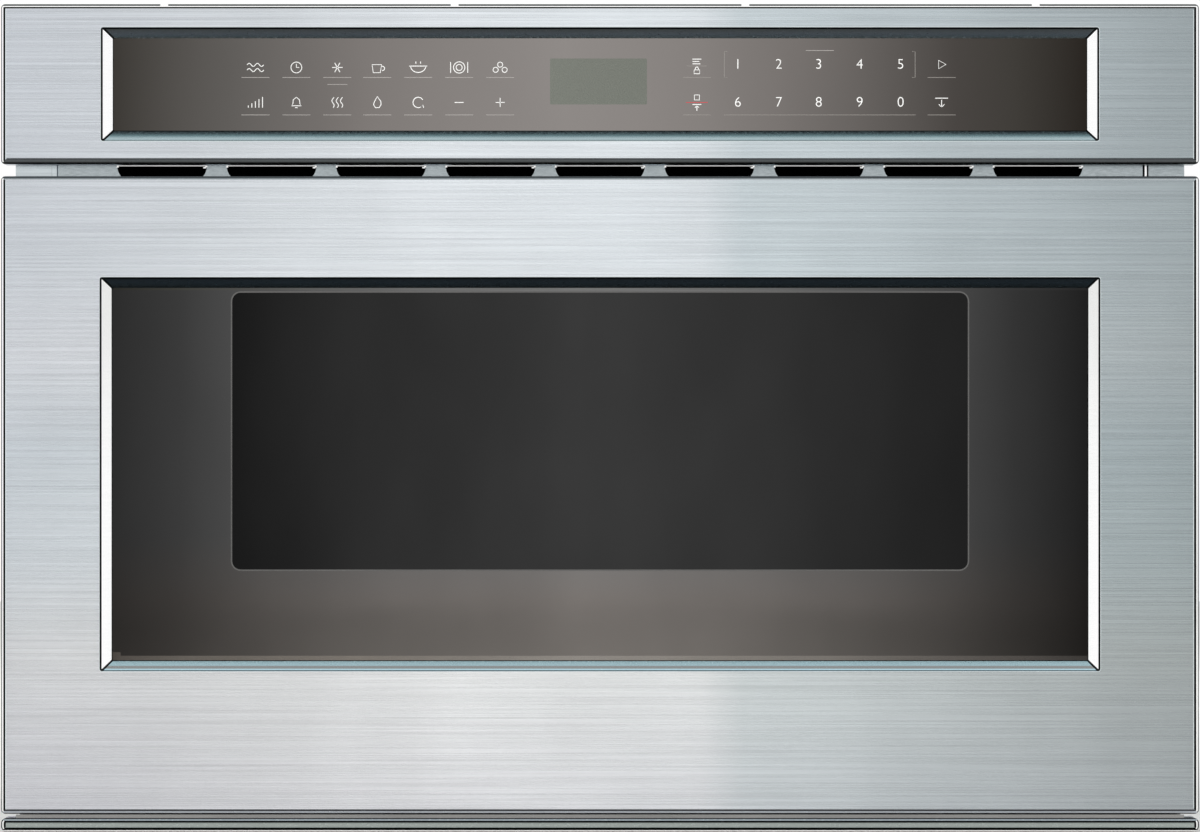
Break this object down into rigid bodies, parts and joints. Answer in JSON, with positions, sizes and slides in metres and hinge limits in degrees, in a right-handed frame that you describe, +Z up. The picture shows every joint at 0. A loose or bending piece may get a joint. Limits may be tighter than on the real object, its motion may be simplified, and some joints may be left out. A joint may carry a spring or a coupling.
{
  "type": "microwave drawer",
  "caption": "Built-in drawer microwave: fixed glass control panel over a powered drawer with a window, tub on telescopic slides, rack drive, vent slots.",
  "frame": {"origin": "on the shelf, under the middle of the product", "axes": "+X to the right of a person facing the front, +Y to the back, +Z up"},
  "size_m": [0.6064, 0.594, 0.4191],
  "materials": {
    "stainless": "stainless steel sheet with a fine horizontal grain",
    "zinc_steel": "zinc-coated steel sheet",
    "oven_enamel": "grey baked paint on steel sheet",
    "panel_glass": "polished tinted glass with a printed border",
    "tray_glass": "flat ceramic glass",
    "black_plastic": "moulded, fine texture",
    "white_plastic": "moulded, fine texture",
    "acetal": "moulded natural acetal",
    "circuit_board": "glass-fibre board",
    "display": "liquid crystal panel",
    "motor_case": "drawn metal can",
    "copper_winding": "steel core with copper windings"
  },
  "bodies": {
    "root": {"control_fascia": "stainless", "bottom_trim": "stainless", "vent_grille": "stainless", "base_pan": "zinc_steel", "case_top": "zinc_steel", "case_side_left": "zinc_steel", "case_side_right": "zinc_steel", "rear_panel": "zinc_steel", "frame_top_rail": "zinc_steel", "frame_bottom_rail": "zinc_steel", "frame_stile_left": "zinc_steel", "frame_stile_right": "zinc_steel", "waveguide": "zinc_steel", "fan_shroud": "zinc_steel", "exhaust_duct": "zinc_steel", "drive_bracket": "zinc_steel", "slide_outer_left": "zinc_steel", "slide_outer_right": "zinc_steel", "cavity_wrap": "oven_enamel", "cavity_back": "oven_enamel", "cavity_ceiling": "oven_enamel", "control_glass": "panel_glass", "base_skid_left": "black_plastic", "base_skid_right": "black_plastic", "control_housing": "black_plastic", "cable_gland": "black_plastic", "interlock_switch_left": "black_plastic", "interlock_switch_right": "black_plastic", "stirrer_cover": "white_plastic", "cavity_lamp": "white_plastic", "rack_guide": "acetal", "control_board": "circuit_board", "noise_filter": "circuit_board", "display_module": "display", "antenna_motor": "motor_case", "fan_motor": "motor_case", "gear_motor": "motor_case", "magnetron": "motor_case", "capacitor": "motor_case", "transformer": "copper_winding"},
    "drawer": {"drawer_front": "stainless", "drawer_glass": "panel_glass", "door_frame": "oven_enamel", "choke_cover": "black_plastic", "window_screen": "oven_enamel", "tub_wrap": "oven_enamel", "tub_back": "oven_enamel", "glass_tray": "tray_glass", "rack": "acetal", "slide_inner_left": "zinc_steel", "slide_inner_right": "zinc_steel", "interlock_tongue_left": "black_plastic", "interlock_tongue_right": "black_plastic"},
    "pinion": {"drive_pinion": "acetal"},
    "fan": {"fan_impeller": "white_plastic"},
    "stirrer": {"stirrer_antenna": "zinc_steel"},
    "slide_left": {"slide_middle_left": "zinc_steel"},
    "slide_right": {"slide_middle_right": "zinc_steel"},
    "plunger_left": {"interlock_plunger_left": "acetal"},
    "plunger_right": {"interlock_plunger_right": "acetal"}
  },
  "joints": [
    {"name": "drawer_slide", "type": "slide", "parent": "root", "child": "drawer", "axis": [0, -1, 0], "range_m": [0, 0.375]},
    {"name": "slide_left_travel", "type": "slide", "parent": "root", "child": "slide_left", "axis": [0, -1, 0], "range_m": [0, 0.1875]},
    {"name": "slide_right_travel", "type": "slide", "parent": "root", "child": "slide_right", "axis": [0, -1, 0], "range_m": [0, 0.1875]},
    {"name": "pinion_spin", "type": "hinge", "parent": "root", "child": "pinion", "pos_m": [0, -0.225, 0.03612], "axis": [1, 0, 0], "range_deg": [0, 1592]},
    {"name": "fan_spin", "type": "hinge", "parent": "root", "child": "fan", "pos_m": [-0.092, 0.2228, 0.248], "axis": [1, 0, 0], "continuous": true},
    {"name": "stirrer_spin", "type": "hinge", "parent": "root", "child": "stirrer", "pos_m": [0, -0.062, 0.2935], "axis": [0, 0, 1], "continuous": true},
    {"name": "plunger_left_press", "type": "slide", "parent": "root", "child": "plunger_left", "axis": [0, 1, 0], "range_m": [0, 0.001], "stiffness_N_per_m": 300},
    {"name": "plunger_right_press", "type": "slide", "parent": "root", "child": "plunger_right", "axis": [0, 1, 0], "range_m": [0, 0.001], "stiffness_N_per_m": 300}
  ],
  "couplings": [
    {"joint": "slide_left_travel", "follows": "drawer_slide", "ratio": 0.5},
    {"joint": "slide_right_travel", "follows": "drawer_slide", "ratio": 0.5},
    {"joint": "pinion_spin", "follows": "drawer_slide", "rad_per_m": 74.074}
  ]
}
